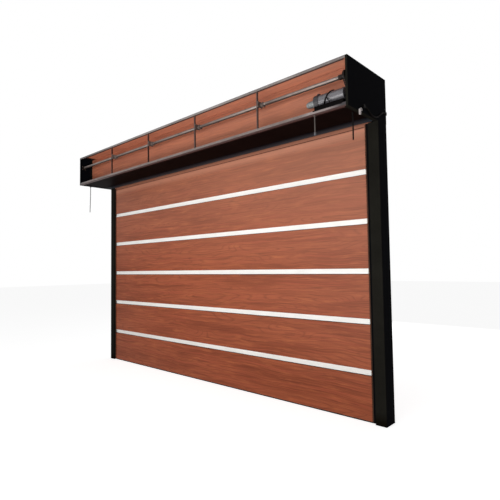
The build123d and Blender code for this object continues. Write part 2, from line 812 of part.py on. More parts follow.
# Two-lobed connector: a round socket on the right tray's face and a plug that hangs below it
socket_y = front_y + socket_setback
socket_z = clear_height + socket_rise
plug_top = clear_height - plug_gap
with BuildPart() as connector_block:
    with BuildSketch(Plane.YZ.offset(right_face)):
        with Locations((socket_y, socket_z)):
            Circle(socket_radius)
    extrude(amount=connector_thickness)
    with BuildSketch(Plane.YZ.offset(right_face - plug_inset)):
        with Locations((socket_y, plug_top - plug_height / 2)):
            Rectangle(plug_width, plug_height)
            chamfer(vertices().group_by(Axis.Y)[0], plug_chamfer)
    extrude(amount=connector_thickness)
connector_block.part.label = "connector_block"
export_step(connector_block.part, "parts/connector_block.step")

# Lead that sags between the two blocks, level where it meets each of them
side_x = right_face + side_lead_radius + side_lead_gap
lead_start = outlet_y + entry_size / 2
lead_end = entry_y - entry_size / 2
side_route = [(side_x, lead_start, outlet_z), (side_x, lead_start + side_lead_stub, outlet_z)]
for share, sag_share in side_lead_sag_shares:
    line_y = lead_start + (lead_end - lead_start) * share
    line_z = outlet_z + (entry_z - outlet_z) * share
    side_route.append((side_x, line_y, line_z - side_lead_sag * sag_share))
side_route.extend([(side_x, lead_end - side_lead_stub, entry_z), (side_x, lead_end, entry_z)])
with BuildPart() as side_lead:
    with BuildLine() as side_path:
        FilletPolyline(*side_route, radius=bend_radii(side_route))
    with BuildSketch(Plane(origin=side_path.line @ 0, z_dir=side_path.line % 0)):
        RegularPolygon(side_lead_radius, tube_sides)
    sweep(path=side_path.wire())
side_lead.part.label = "side_lead"
export_step(side_lead.part, "parts/side_lead.step")
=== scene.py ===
import json
from math import asin, atan2, cos, pi, radians, sin, sqrt
from random import Random

import bmesh
import bpy
from mathutils import Matrix, Vector


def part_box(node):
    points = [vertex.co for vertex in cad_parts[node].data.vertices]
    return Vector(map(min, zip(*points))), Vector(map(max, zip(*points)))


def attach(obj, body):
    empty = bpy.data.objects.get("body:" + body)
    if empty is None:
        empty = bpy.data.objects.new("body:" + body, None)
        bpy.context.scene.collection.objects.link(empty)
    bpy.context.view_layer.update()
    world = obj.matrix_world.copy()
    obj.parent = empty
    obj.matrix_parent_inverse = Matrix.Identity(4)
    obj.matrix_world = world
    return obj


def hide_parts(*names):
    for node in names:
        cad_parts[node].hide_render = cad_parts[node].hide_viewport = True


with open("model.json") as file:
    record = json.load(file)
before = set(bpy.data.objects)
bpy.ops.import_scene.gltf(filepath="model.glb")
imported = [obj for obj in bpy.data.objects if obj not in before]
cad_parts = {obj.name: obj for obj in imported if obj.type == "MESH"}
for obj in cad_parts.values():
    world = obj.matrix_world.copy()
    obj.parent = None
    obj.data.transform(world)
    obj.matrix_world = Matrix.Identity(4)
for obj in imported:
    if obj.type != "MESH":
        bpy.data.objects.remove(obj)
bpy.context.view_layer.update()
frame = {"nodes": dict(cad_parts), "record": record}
nodes = frame["nodes"]

# Camera at the photograph's angle
CAMERA_PLACE = Vector((6.912, -4.023, 1.528))
CAMERA_YAW = radians(42.74)
CAMERA_PITCH = radians(2.82)
CAMERA_ROLL = radians(-0.805)
LENS_MM = 31.097
SENSOR_MM = 36.0
SHIFT_X = 0.0006
SHIFT_Y = -0.0056
CLIP_END = 200.0

forward = Vector((
    -sin(CAMERA_YAW) * cos(CAMERA_PITCH),
    cos(CAMERA_YAW) * cos(CAMERA_PITCH),
    sin(CAMERA_PITCH),
))
level = Vector((cos(CAMERA_YAW), sin(CAMERA_YAW), 0.0))
upright = level.cross(forward)
right = cos(CAMERA_ROLL) * level + sin(CAMERA_ROLL) * upright
up = -sin(CAMERA_ROLL) * level + cos(CAMERA_ROLL) * upright
camera_data = bpy.data.cameras.new("photo_camera")
camera_data.sensor_fit = "HORIZONTAL"
camera_data.sensor_width = SENSOR_MM
camera_data.lens = LENS_MM
camera_data.shift_x = SHIFT_X
camera_data.shift_y = SHIFT_Y
camera_data.clip_end = CLIP_END
camera = bpy.data.objects.new("photo_camera", camera_data)
axes = Matrix((right, up, -forward)).transposed().to_4x4()
camera.matrix_world = Matrix.Translation(CAMERA_PLACE) @ axes
bpy.context.scene.collection.objects.link(camera)
bpy.context.scene.camera = camera


# Materials: small helpers around shader nodes
MIX_COLOUR_A = 6
MIX_COLOUR_B = 7
MIX_COLOUR_RESULT = 2
COAT_ROUGHNESS = 0.2
CLOUD_SCALE = 2.6
STAIN_SCALE = 7.0
SECTION_PITCH = 0.5
SECTION_OFFSET = 0.0175
SECTION_SHIFT = 7.37


def tone(red, green, blue):
    """A linear colour from its 0 to 255 display values."""
    shares = [value / 255 for value in (red, green, blue)]
    return tuple(s / 12.92 if s <= 0.04045 else ((s + 0.055) / 1.055) ** 2.4 for s in shares) + (1.0,)


def link(tree, value, socket):
    """Sets a socket, or links it where value is another socket."""
    if isinstance(value, bpy.types.NodeSocket):
        tree.links.new(value, socket)
    else:
        socket.default_value = value


def new_material(name, roughness, metallic, specular, coat=0.0):
    """A material with its node tree and its shader, whose uniform values are set on its own sockets."""
    material = bpy.data.materials.new(name)
    material.use_nodes = True
    tree = material.node_tree
    shader = tree.nodes["Principled BSDF"]
    shader.inputs["Roughness"].default_value = roughness
    shader.inputs["Metallic"].default_value = metallic
    shader.inputs["Specular IOR Level"].default_value = specular
    shader.inputs["Coat Weight"].default_value = coat
    shader.inputs["Coat Roughness"].default_value = COAT_ROUGHNESS
    return material, tree, shader


def metres(tree, scale):
    """Object coordinates in metres, multiplied by scale along each axis."""
    coords = tree.nodes.new("ShaderNodeTexCoord")
    mapping = tree.nodes.new("ShaderNodeMapping")
    mapping.inputs["Scale"].default_value = scale
    tree.links.new(coords.outputs["Object"], mapping.inputs["Vector"])
    return mapping.outputs["Vector"]


def noise(tree, vector, detail, rough, distortion=0.0):
    """A noise texture's value, from 0 to 1 and mostly near the middle."""
    texture = tree.nodes.new("ShaderNodeTexNoise")
    texture.inputs["Scale"].default_value = 1.0
    texture.inputs["Detail"].default_value = detail
    texture.inputs["Roughness"].default_value = rough
    texture.inputs["Distortion"].default_value = distortion
    tree.links.new(vector, texture.inputs["Vector"])
    return texture.outputs["Fac"]


def calc(tree, operation, first, second=0.0):
    """The output of a math node on one or two values."""
    node = tree.nodes.new("ShaderNodeMath")
    node.operation = operation
    link(tree, first, node.inputs[0])
    link(tree, second, node.inputs[1])
    return node.outputs["Value"]


def stretch(tree, value, low, high, new_low=0.0, new_high=1.0):
    """The value mapped from one range to another, and kept inside it."""
    node = tree.nodes.new("ShaderNodeMapRange")
    link(tree, value, node.inputs["Value"])
    node.inputs["From Min"].default_value = low
    node.inputs["From Max"].default_value = high
    node.inputs["To Min"].default_value = new_low
    node.inputs["To Max"].default_value = new_high
    return node.outputs["Result"]


def mix(tree, share, first, second):
    """A colour between two colours."""
    node = tree.nodes.new("ShaderNodeMix")
    node.data_type = "RGBA"
    link(tree, share, node.inputs["Factor"])
    link(tree, first, node.inputs[MIX_COLOUR_A])
    link(tree, second, node.inputs[MIX_COLOUR_B])
    return node.outputs[MIX_COLOUR_RESULT]


def bump(tree, shader, height, strength, distance):
    """Bends the shader's normal by a height."""
    node = tree.nodes.new("ShaderNodeBump")
    node.inputs["Strength"].default_value = strength
    node.inputs["Distance"].default_value = distance
    tree.links.new(height, node.inputs["Height"])
    tree.links.new(node.outputs["Normal"], shader.inputs["Normal"])


def worn_paint(name, dark, light, rough, specular, grain=90.0, depth=0.0004, metallic=0.0, coat=0.0):
    """Paint or bare metal: cloudy tone, fine grain and a roughness that varies."""
    material, tree, shader = new_material(name, rough, metallic, specular, coat)
    clouds = noise(tree, metres(tree, (CLOUD_SCALE,) * 3), 5.0, 0.6)
    fine = noise(tree, metres(tree, (grain,) * 3), 3.0, 0.6)
    share = calc(tree, "ADD", calc(tree, "MULTIPLY", clouds, 0.7), calc(tree, "MULTIPLY", fine, 0.3))
    link(tree, mix(tree, stretch(tree, share, 0.35, 0.65), dark, light), shader.inputs["Base Color"])
    link(tree, stretch(tree, fine, 0.3, 0.7, rough - 0.06, rough + 0.08), shader.inputs["Roughness"])
    bump(tree, shader, fine, 0.25, depth)
    return material


def blend_along(material, axis, start, end, other, strength=1.0):
    """Blends the material's colour into another one between two places along an axis."""
    tree = material.node_tree
    shader = tree.nodes["Principled BSDF"]
    colour = shader.inputs["Base Color"].links[0].from_socket
    coords = tree.nodes.new("ShaderNodeTexCoord")
    split = tree.nodes.new("ShaderNodeSeparateXYZ")
    tree.links.new(coords.outputs["Object"], split.inputs["Vector"])
    share = stretch(tree, split.outputs[axis], start, end, 0.0, strength)
    link(tree, mix(tree, share, colour, other), shader.inputs["Base Color"])


def brushed_metal(name, dark, light, rough, along=(3.0, 240.0, 240.0)):
    """Dull metal with fine lines along one axis and faint stains."""
    material, tree, shader = new_material(name, rough, 0.75, 0.5)
    lines = noise(tree, metres(tree, along), 3.0, 0.6)
    stains = noise(tree, metres(tree, (STAIN_SCALE,) * 3), 6.0, 0.65)
    share = calc(tree, "ADD", calc(tree, "MULTIPLY", lines, 0.45), calc(tree, "MULTIPLY", stains, 0.55))
    link(tree, mix(tree, stretch(tree, share, 0.36, 0.64), dark, light), shader.inputs["Base Color"])
    link(tree, stretch(tree, stains, 0.3, 0.7, rough - 0.08, rough + 0.12), shader.inputs["Roughness"])
    bump(tree, shader, lines, 0.2, 0.0003)
    return material


def wood_laminate(name, lift=1.0, contrast=1.0, painted_sheen=0.0):
    """Mahogany-grain laminate: straight fibres, flat arcs and bands, another cut on each section.

    lift scales the tones (painted light on the header's lighter copies), contrast the dark streaks and
    bands, and the last argument sets a painted sheen over the whole, which also grows upwards and to the
    right.
    """
    material, tree, shader = new_material(name, 0.5, 0.0, 0.15)
    coords = tree.nodes.new("ShaderNodeTexCoord")
    split = tree.nodes.new("ShaderNodeSeparateXYZ")
    tree.links.new(coords.outputs["Object"], split.inputs["Vector"])
    raised = calc(tree, "ADD", split.outputs["Z"], SECTION_OFFSET)
    section = calc(tree, "FLOOR", calc(tree, "DIVIDE", raised, SECTION_PITCH))
    shifted = calc(tree, "ADD", split.outputs["X"], calc(tree, "MULTIPLY", section, SECTION_SHIFT))

    def cut(along, across, height=None):
        """The place in the section's own cut of wood, scaled along and across the grain."""
        join = tree.nodes.new("ShaderNodeCombineXYZ")
        link(tree, calc(tree, "MULTIPLY", shifted, along), join.inputs["X"])
        link(tree, calc(tree, "MULTIPLY", split.outputs["Y"], across), join.inputs["Y"])
        link(tree, calc(tree, "MULTIPLY", height or split.outputs["Z"], across), join.inputs["Z"])
        return join.outputs["Vector"]

    sway = noise(tree, cut(1.7, 3.0), 2.0, 0.5)
    swayed = calc(tree, "ADD", split.outputs["Z"], stretch(tree, sway, 0.3, 0.7, -0.014, 0.014))
    fibre = noise(tree, cut(2.2, 170.0, swayed), 4.0, 0.6)
    streaks = noise(tree, cut(1.1, 46.0, swayed), 3.0, 0.55)
    pores = noise(tree, cut(14.0, 700.0), 2.0, 0.5)
    broad = noise(tree, cut(0.7, 8.0, swayed), 2.0, 0.5)
    figure = noise(tree, cut(0.8, 5.5), 1.0, 0.4, 0.3)
    rings = calc(tree, "PINGPONG", calc(tree, "MULTIPLY", figure, 15.0), 0.5)
    ring_lines = stretch(tree, rings, 0.0, 0.2, 1.0, 0.0)
    arc_share = calc(tree, "MULTIPLY", ring_lines, stretch(tree, broad, 0.42, 0.6))
    glow = noise(tree, cut(3.0, 26.0, swayed), 3.0, 0.55)
    dark, base, warm, rosy, deep, pale = [
        tone(*(value * lift for value in shade))
        for shade in (
            (131, 63, 38),
            (156, 81, 52),
            (178, 98, 60),
            (165, 81, 55),
            (88, 41, 25),
            (202, 158, 136),
        )
    ]
    colour = mix(tree, stretch(tree, broad, 0.38, 0.6, 1.0 - contrast, 1.0), dark, base)
    colour = mix(tree, stretch(tree, streaks, 0.5, 0.68, 0.0, 0.7 * contrast), colour, rosy)
    colour = mix(tree, stretch(tree, glow, 0.52, 0.72, 0.0, 0.7), colour, warm)
    colour = mix(tree, stretch(tree, streaks, 0.46, 0.32, 0.0, 0.5 * contrast), colour, dark)
    colour = mix(tree, stretch(tree, fibre, 0.52, 0.68, 0.0, 0.4), colour, warm)
    colour = mix(tree, stretch(tree, fibre, 0.47, 0.3, 0.0, 0.6), colour, deep)
    colour = mix(tree, calc(tree, "MULTIPLY", arc_share, 0.35 * contrast), colour, deep)
    colour = mix(tree, stretch(tree, pores, 0.4, 0.28, 0.0, 0.4), colour, deep)
    # Painted sheen: the wood turns towards the pale tone upwards and to the right, where more light
    # falls
    upper = stretch(tree, split.outputs["Z"], 1.5, 2.9, painted_sheen, painted_sheen + 0.16)
    rightward_sheen = stretch(tree, split.outputs["X"], 1.0, 4.9)
    rightward_sheen = calc(tree, "MULTIPLY", rightward_sheen, stretch(tree, split.outputs["Z"], 0.3, 2.7, 0.01, 0.14))
    colour = mix(tree, calc(tree, "ADD", upper, rightward_sheen), colour, pale)
    link(tree, colour, shader.inputs["Base Color"])
    link(tree, stretch(tree, fibre, 0.3, 0.7, 0.56, 0.42), shader.inputs["Roughness"])
    bump(tree, shader, calc(tree, "ADD", fibre, calc(tree, "MULTIPLY", pores, 0.6)), 0.25, 0.0004)
    return material


wood = wood_laminate("wood_laminate")
# Painted light: lighter copies of the wood for the header's board and lining, which lie in the header's
# shade; the lining also takes painted sheen
lit_header_wood = wood_laminate("header_wood_laminate", 1.04, 0.45)
lit_lining_wood = wood_laminate("lining_wood_laminate", 1.24, 0.4, 0.06)
black_paint = worn_paint("black_powder_coat", tone(25, 24, 21), tone(34, 33, 29), 0.6, 0.002)
guide_paint = worn_paint("guide_black_paint", tone(9, 9, 11), tone(16, 16, 18), 0.6, 0.002)
soffit_paint = worn_paint("soffit_enamel", tone(10, 5, 5), tone(18, 10, 9), 0.5, 0.004)
grey_metal = worn_paint(
    "dull_galvanised_steel", tone(104, 93, 90), tone(150, 138, 135), 0.5, 0.4, grain=60.0, metallic=0.25,
)
bar_paint = worn_paint("bar_primer", tone(54, 30, 24), tone(78, 52, 45), 0.5, 0.2)
dark_iron = worn_paint("oiled_iron", tone(15, 11, 9), tone(38, 26, 21), 0.45, 0.3, metallic=0.4)
shaft_metal = brushed_metal("shaft_steel", tone(108, 97, 92), tone(156, 143, 137), 0.45)
bracket_metal = worn_paint(
    "bracket_steel", tone(88, 76, 71), tone(126, 112, 106), 0.5, 0.3, metallic=0.2,
)
motor_paint = worn_paint("motor_grey_paint", tone(76, 73, 77), tone(106, 103, 107), 0.28, 0.5, coat=0.4)
nose_metal = worn_paint("nose_casting", tone(112, 116, 116), tone(148, 150, 150), 0.5, 0.4, metallic=0.2)
clamp_paint = worn_paint("clamp_paint", tone(34, 32, 34), tone(58, 56, 60), 0.4, 0.4)
strip_paint = worn_paint(
    "white_strip_coating", tone(238, 236, 231), tone(250, 248, 244), 0.4, 0.3, depth=0.0002,
)
seal_rubber = worn_paint("seal_rubber", tone(18, 18, 18), tone(32, 31, 30), 0.75, 0.2)
cable_rubber = worn_paint("cable_sheath", tone(10, 9, 9), tone(19, 17, 17), 0.6, 0.05, grain=300.0)
lead_rubber = worn_paint("lead_sheath", tone(10, 6, 5), tone(17, 11, 9), 0.6, 0.03, grain=300.0)
rod_metal = brushed_metal(
    "zinc_plated_rod", tone(64, 58, 55), tone(94, 87, 83), 0.5, (240.0, 240.0, 3.0),
)
# Near-black plastic of the cable duct, which also paints the shade under the motor
duct_plastic_and_shade = worn_paint("duct_plastic_and_shade", tone(10, 8, 8), tone(17, 14, 14), 0.5, 0.01)
rail_metal = worn_paint(
    "bottom_rail_steel", tone(100, 88, 84), tone(136, 124, 120), 0.5, 0.3, grain=60.0, metallic=0.2,
)
top_rail_metal = worn_paint(
    "top_rail_steel", tone(108, 101, 99), tone(150, 142, 139), 0.5, 0.3, grain=60.0, metallic=0.2,
)
lintel_paint = worn_paint("lintel_paint", tone(11, 14, 18), tone(19, 23, 29), 0.5, 0.01)
joint_rubber = worn_paint("joint_seal_rubber", tone(44, 28, 22), tone(62, 42, 34), 0.75, 0.1)
# Painted shade: the left end tray takes a darker, bluish copy of the black coat
shaded_tray_paint = worn_paint("shaded_tray_paint", tone(11, 13, 17), tone(18, 20, 25), 0.6, 0.002)
brush_fibre = worn_paint("brush_fibre", tone(44, 28, 20), tone(76, 54, 42), 0.8, 0.1, grain=400.0)
white_plastic = worn_paint("white_moulding", tone(158, 150, 149), tone(184, 176, 173), 0.45, 0.4)

FINISHES = {
    "black_steel": black_paint,
    "guide_black": guide_paint,
    "soffit_steel": soffit_paint,
    "grey_steel": grey_metal,
    "bar_steel": bar_paint,
    "dark_iron": dark_iron,
    "wood_grain": wood,
    "white_strip": strip_paint,
    "seal_rubber": seal_rubber,
    "motor_grey": motor_paint,
    "clamp_steel": clamp_paint,
    "black_cable": cable_rubber,
    "rod_zinc": rod_metal,
    "white_plastic": white_plastic,
}

# Colour changes along the door: browner feet of dust, and painted shade, highlights and reflections on
# the rails, soffit, shaft, lining, board, leaf, right tray, lintel and bars; the rod's socket end is
# lighter and bluish
blend_along(black_paint, "Z", 0.13, 0.03, tone(15, 11, 5), 0.85)
# Painted highlight: the bottom rail paler from X 4.5 on
blend_along(rail_metal, "X", 4.5, 4.6, tone(160, 148, 146), 0.5)
# Painted shade: the bottom rail darker at its right end, by the duct and end tray
blend_along(rail_metal, "X", 4.80, 4.95, tone(58, 53, 55))
# Painted shade with a bluish reflection: the bottom rail duller at its left end
blend_along(rail_metal, "X", 0.35, 0.0, tone(84, 86, 88), 0.6)
# Painted shade: the bottom rail's lower edge brown, where it turns away from the light
blend_along(rail_metal, "Z", 2.9745, 2.972, tone(66, 46, 44))
# Painted shade: the top rail's sheen fades towards its left end
blend_along(top_rail_metal, "X", 1.8, 0.2, tone(92, 82, 82), 0.75)
# Painted reflection of the wood: the soffit's front edge brown
blend_along(soffit_paint, "Y", -0.600, -0.650, tone(66, 44, 46), 0.8)
# Painted shade: the shaft darker on its underside
blend_along(shaft_metal, "Z", 3.262, 3.248, tone(58, 46, 40), 0.75)
# Painted shade: the lining near-black in the corner by the left tray
blend_along(lit_lining_wood, "X", 0.12, 0.05, tone(16, 12, 12))
# Painted light: the header board lighter on its lower part, where the bottom rail shades it
blend_along(lit_header_wood, "Z", 3.11, 3.04, tone(202, 132, 104), 0.5)
# Painted highlight: a bright band on the leaf just under the lintel
blend_along(wood, "Z", 2.83, 2.89, tone(222, 160, 132), 0.3)
# Painted shadow of the lintel: the leaf's top and the cover strip darker
blend_along(wood, "Z", 2.920, 2.932, tone(104, 58, 42), 0.5)
# Painted shade: the right tray's outer side darker and bluish
blend_along(black_paint, "X", 5.0165, 5.0172, tone(16, 16, 20), 0.85)
# Painted bluish reflection: the lintel lighter towards the door
blend_along(lintel_paint, "Y", -0.225, -0.125, tone(60, 64, 70))
# Painted sheen: the bars and the lining trim paler towards the right
blend_along(bar_paint, "X", 2.4, 2.9, tone(98, 84, 80), 0.6)
blend_along(rod_metal, "Z", 2.8, 2.79, tone(104, 108, 116), 0.6)

# Finishes of the nodes that don't take their slot's own
OWN_FINISH = {
    "drive_shaft": shaft_metal,
    "motor_nose": nose_metal,
    "front_rail_bottom": rail_metal,
    "front_rail_top": top_rail_metal,
    "bearing_brackets": bracket_metal,
    "shaft_collars": bracket_metal,
    "lintel_beam": lintel_paint,
    "cable_duct": duct_plastic_and_shade,
    "header_board": lit_header_wood,
    "header_lining": lit_lining_wood,
    "end_tray_left": shaded_tray_paint,
}
for part in frame["record"]["subparts"]:
    name = part["node"]
    target = nodes[name]
    target.data.materials.clear()
    target.data.materials.append(OWN_FINISH.get(name, FINISHES[part["material_slot"]]))


# Pieces added to the frame
def add_piece(name, mesh, material):
    """A mesh object in metres that rides on the door and takes the given finish."""
    piece = bpy.data.objects.new(name, mesh)
    bpy.context.scene.collection.objects.link(piece)
    mesh.materials.append(material)
    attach(piece, "root")
    return piece


def make_cord(name, node, points, diameter, material, slot, **facts):
    """A smooth NURBS cord along the route's points that stands for the CAD tube."""
    curve = bpy.data.curves.new(name, "CURVE")
    curve.dimensions = "3D"
    curve.bevel_depth = diameter / 2
    curve.bevel_resolution = 4
    curve.use_fill_caps = True
    curve.resolution_u = 16
    spline = curve.splines.new("NURBS")
    spline.points.add(len(points) - 1)
    for point, place in zip(spline.points, points):
        point.co = (*place, 1.0)
    spline.order_u = 3
    spline.use_endpoint_u = True
    piece = bpy.data.objects.new(name, curve)
    bpy.context.scene.collection.objects.link(piece)
    curve.materials.append(material)
    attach(piece, "root")
    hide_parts(node)


LEFT_CORD = [
    (-0.0365, -0.484, 2.947),
    (-0.0365, -0.484, 2.8405),
    (-0.0395, -0.486, 2.7297),
    (-0.0395, -0.489, 2.619),
    (-0.0425, -0.490, 2.521),
]
RIGHT_CORD = [
    (4.9455, -0.458, 2.951),
    (4.9455, -0.458, 2.8778),
    (4.9475, -0.459, 2.7924),
    (4.9465, -0.461, 2.707),
]
SIDE_LEAD = [
    (5.0245, -0.365, 3.022),
    (5.0245, -0.323, 3.022),
    (5.0245, -0.2628, 2.9785),
    (5.0245, -0.185, 2.9665),
    (5.0245, -0.1032, 2.9897),
    (5.0245, -0.046, 3.0311),
    (5.0245, 0.002, 3.064),
    (5.0245, 0.044, 3.064),
]
make_cord(
    "left_hanging_cord", "left_cord", LEFT_CORD, 0.010, cable_rubber, "black_cable",
    length=0.426, far_end="bare", stiffness="medium", lay="hanging",
)
make_cord(
    "right_hanging_cord", "right_cord", RIGHT_CORD, 0.014, cable_rubber, "black_cable",
    length=0.244, far_end="bare", stiffness="medium", lay="hanging",
)
make_cord(
    "side_hanging_lead", "side_lead", SIDE_LEAD, 0.012, lead_rubber, "black_cable",
    length=0.443, far_end="object", stiffness="medium", lay="hanging",
)


# Shapes for the small pieces, in metres
def turned(mesh, base, axis, profile, sides):
    """A shape turned round an axis: profile holds (distance along, radius) pairs."""
    turn = Vector(axis).to_track_quat("Z", "Y")
    rings = []
    for along, radius in profile:
        ring = []
        for number in range(sides):
            angle = 2 * pi * (number + 0.5) / sides
            local = Vector((radius * cos(angle), radius * sin(angle), along))
            ring.append(mesh.verts.new(Vector(base) + turn @ local))
        rings.append(ring)
    for lower, upper in zip(rings, rings[1:]):
        for number in range(sides):
            after = (number + 1) % sides
            mesh.faces.new((lower[number], lower[after], upper[after], upper[number]))
    mesh.faces.new(list(reversed(rings[0])))
    mesh.faces.new(rings[-1])


def hex_bolt(mesh, base, axis, radius):
    """A washer and a hexagonal head with a chamfered top."""
    turned(mesh, base, axis, [(0.0, 1.5 * radius), (0.2 * radius, 1.5 * radius)], 16)
    head = [(0.2 * radius, radius), (0.75 * radius, radius), (0.9 * radius, 0.85 * radius)]
    turned(mesh, base, axis, head, 6)


def rivet(mesh, base, axis, radius):
    """A low domed head."""
    dome = [(0.0, 1.0), (0.2, 0.94), (0.42, 0.7), (0.52, 0.3)]
    turned(mesh, base, axis, [(along * radius, share * radius) for along, share in dome], 10)


def swept(mesh, points, radii, sides):
    """A round bead or wire along a line of points, with a radius at each point."""
    rings = []
    places = [Vector(point) for point in points]
    for number, (place, radius) in enumerate(zip(places, radii)):
        ahead = places[min(number + 1, len(places) - 1)]
        behind = places[max(number - 1, 0)]
        turn = (ahead - behind).to_track_quat("Z", "Y")
        ring = []
        for step in range(sides):
            angle = 2 * pi * step / sides
            local = Vector((radius * cos(angle), radius * sin(angle), 0.0))
            ring.append(mesh.verts.new(place + turn @ local))
        rings.append(ring)
    for lower, upper in zip(rings, rings[1:]):
        for step in range(sides):
            after = (step + 1) % sides
            mesh.faces.new((lower[step], lower[after], upper[after], upper[step]))
    mesh.faces.new(list(reversed(rings[0])))
    mesh.faces.new(rings[-1])


def block(mesh, low, high, bevel):
    """A block between two corners with bevelled edges."""
    made = bmesh.ops.create_cube(mesh, size=1.0)
    middle = (Vector(low) + Vector(high)) / 2
    size = Vector(high) - Vector(low)
    for vertex in made["verts"]:
        vertex.co = middle + vertex.co * size
    edges = list(dict.fromkeys(edge for vertex in made["verts"] for edge in vertex.link_edges))
    bmesh.ops.bevel(mesh, geom=edges, offset=bevel, segments=2, affect="EDGES", profile=0.5)


def finish_piece(name, mesh, material, smooth=False):
    """Turns the bmesh into a piece of the door."""
    bmesh.ops.recalc_face_normals(mesh, faces=mesh.faces)
    data = bpy.data.meshes.new(name)
    mesh.to_mesh(data)
    mesh.free()
    for face in data.polygons:
        face.use_smooth = smooth
    return add_piece(name, data, material)


BRISTLE_SEED = 7
random = Random(BRISTLE_SEED)

# Sizes shared with the solid parts
DOOR_WIDTH = 4.96
GUIDE_LIP = 0.0875
BAR_PLACES = (0.960, 1.925, 2.912, 3.934)
FIRST_STRIP = 0.483
STRIP_COUNT = 5
STRIP_MIDDLES = [FIRST_STRIP + SECTION_PITCH * number for number in range(STRIP_COUNT)]
STRIP_FACE = -0.0625
RAIL_FRONT = -0.664
BAR_BACK = -0.6395
SOFFIT_TOP = 2.9685
SHAFT_Y = -0.599
SHAFT_Z = 3.264
MOTOR_Y = -0.5288
MOTOR_Z = 3.1262
MOTOR_LEFT = 4.5975
ROD_AXIS = 4.6545
ROD_Y = -0.651
TRAY_LEFT = -0.0575
TRAY_RIGHT = 5.0175
HEADER_BACK = 0.087
HEADER_TOP = 3.423
RIVET_RADIUS = 0.004


def brush_seal(side, lip, inward):
    """A backing strip on a guide's front lip, with a row of slightly uneven tufts."""
    strip_front = -0.0825
    strip_back = -0.0788
    tuft_front = -0.0822
    tuft_back = -0.0790
    tip_place = -0.0752
    tuft_size = 0.004
    tuft_step = 0.0042
    tuft_reach = 0.0135
    reach_play = 0.0015
    lean_play = 0.002
    shape = bmesh.new()
    edges = sorted((lip - 0.009 * inward, lip + 0.001 * inward))
    block(shape, (edges[0], strip_front, 0.012), (edges[1], strip_back, 2.958), 0.0008)
    height = 0.014
    while height < 2.952:
        reach = tuft_reach + random.uniform(-reach_play, reach_play)
        lean = random.uniform(-lean_play, lean_play)
        root = [
            (lip, tuft_front, height),
            (lip, tuft_back, height + tuft_size / 2),
            (lip, tuft_front, height + tuft_size),
        ]
        corners = [shape.verts.new(point) for point in root]
        tip = shape.verts.new((lip + reach * inward, tip_place, height + tuft_size / 2 + lean))
        for first, second in zip(corners, corners[1:] + corners[:1]):
            shape.faces.new((first, second, tip))
        height += tuft_step
    finish_piece(f"brush_seal_{side}", shape, brush_fibre)


brush_seal("left", GUIDE_LIP, 1.0)
brush_seal("right", DOOR_WIDTH - GUIDE_LIP, -1.0)


def strip_beads(name, edge, finish):
    """Round beads along one edge of each white strip."""
    bead_radius = 0.0027
    places = (0.041, DOOR_WIDTH / 2, DOOR_WIDTH - 0.041)
    shape = bmesh.new()
    for middle in STRIP_MIDDLES:
        points = [(x, STRIP_FACE, middle + edge) for x in places]
        swept(shape, points, [bead_radius] * len(points), 8)
    finish_piece(name, shape, finish, True)


# A white bead above each strip, and a dark rubber one below that also paints the shadow line under each
# strip
STRIP_EDGE = 0.0272
strip_beads("strip_upper_beads", STRIP_EDGE, strip_paint)
strip_beads("strip_gaskets_and_shadows", -STRIP_EDGE, seal_rubber)


def header_rivets():
    """Rivets of the end trays, the back sheet and the top sheet."""
    tray_first = -0.640
    tray_step = 0.1
    back_first = 0.08
    back_step = 0.24
    top_first = 0.02
    top_step = 0.2895
    shape = bmesh.new()
    for face, outward in ((TRAY_LEFT, -1.0), (TRAY_RIGHT, 1.0)):
        for number in range(8):
            for height in (2.9765, 3.405):
                place = (face, tray_first + tray_step * number, height)
                rivet(shape, place, (outward, 0, 0), RIVET_RADIUS)
        for height in (3.08, 3.18, 3.28):
            for depth in (-0.648, 0.075):
                rivet(shape, (face, depth, height), (outward, 0, 0), RIVET_RADIUS)
    for number in range(21):
        for height in (2.985, 3.395):
            place = (back_first + back_step * number, HEADER_BACK, height)
            rivet(shape, place, (0, 1, 0), RIVET_RADIUS)
    for number in range(18):
        for depth in (-0.651, 0.07):
            place = (top_first + top_step * number, depth, HEADER_TOP)
            rivet(shape, place, (0, 0, 1), RIVET_RADIUS)
    finish_piece("header_rivets", shape, black_paint, True)


def rail_bolts():
    """Bolts through the rails into the bars."""
    shape = bmesh.new()
    for bar in BAR_PLACES:
        hex_bolt(shape, (bar, RAIL_FRONT, 2.9885), (0, -1, 0), 0.0055)
        hex_bolt(shape, (bar, RAIL_FRONT, 3.4095), (0, -1, 0), 0.0045)
    finish_piece("rail_bolts", shape, grey_metal)


